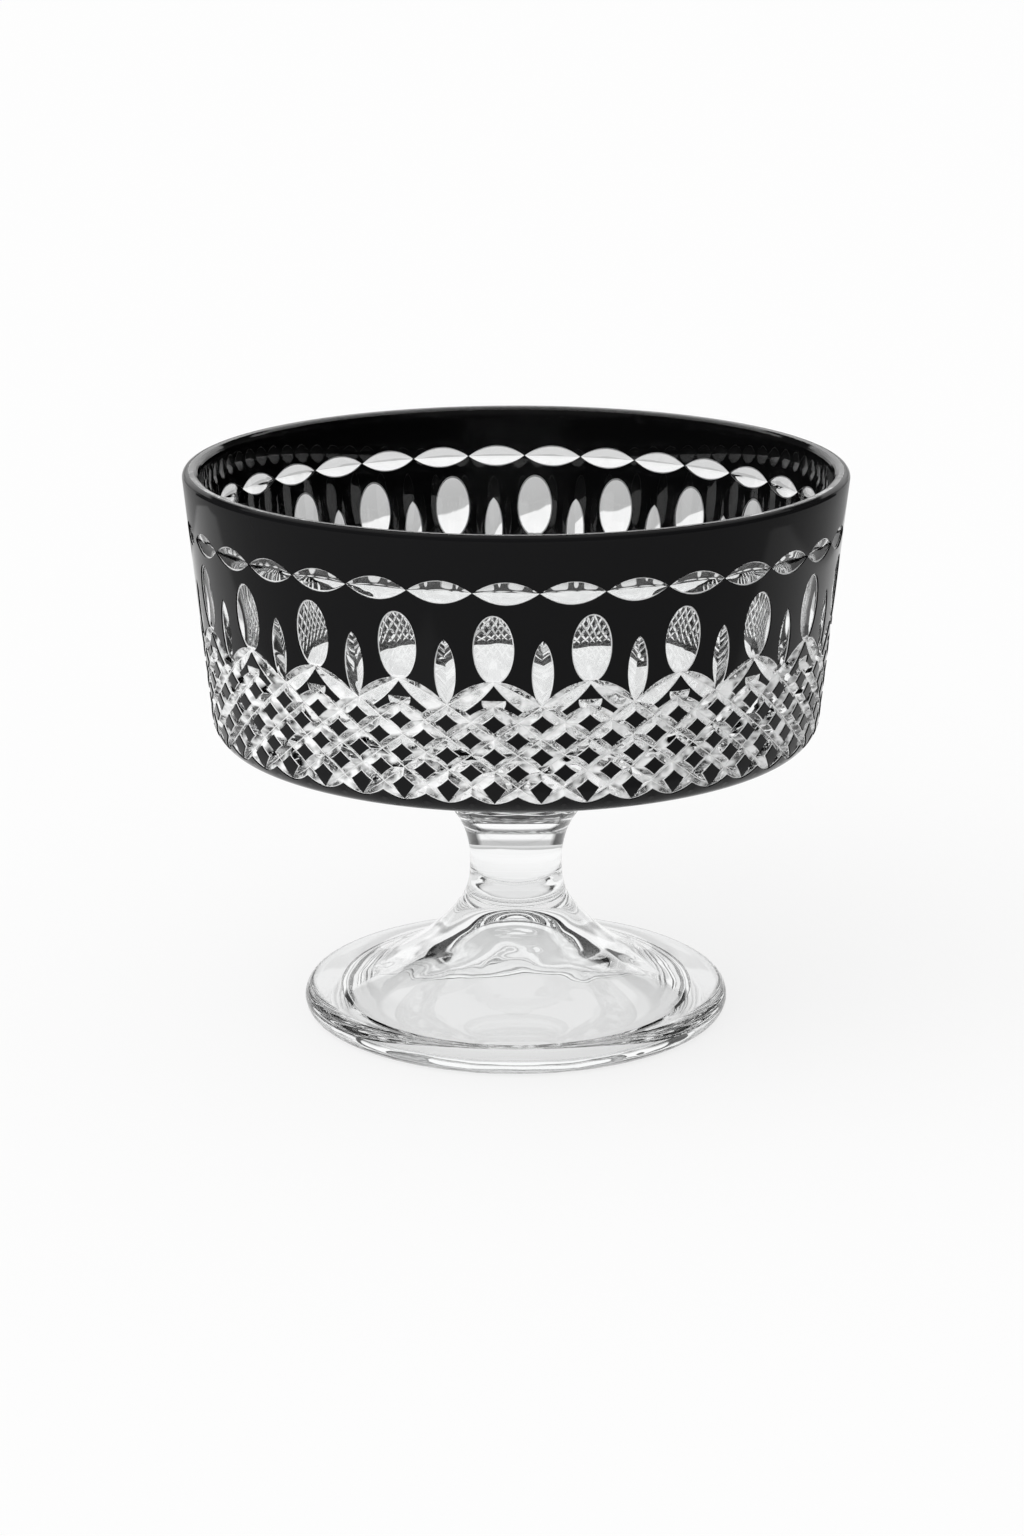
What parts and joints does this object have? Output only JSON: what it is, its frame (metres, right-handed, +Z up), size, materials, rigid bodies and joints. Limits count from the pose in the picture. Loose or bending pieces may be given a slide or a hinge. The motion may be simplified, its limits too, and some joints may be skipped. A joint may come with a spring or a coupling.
{
  "type": "footed fruit bowl",
  "caption": "Deep footed fruit bowl in clear crystal cased in black glass, cut through in olives, ovals, splits and a diamond trellis, on a short waisted stem and a hollow round foot.",
  "frame": {"origin": "centre of the ring that the foot stands on", "axes": "+Z up along the axis of the bowl, -Y towards the front of the picture, +X to its right"},
  "size_m": [0.202, 0.202, 0.1733],
  "materials": {
    "clear_crystal": "polished clear crystal",
    "black_glass": "polished opaque black glass"
  },
  "bodies": {
    "root": {"crystal_bowl": "clear_crystal", "overlay_rim_band": "black_glass", "overlay_field": "black_glass", "overlay_base_cup": "black_glass", "stem": "clear_crystal", "foot": "clear_crystal"}
  },
  "joints": []
}
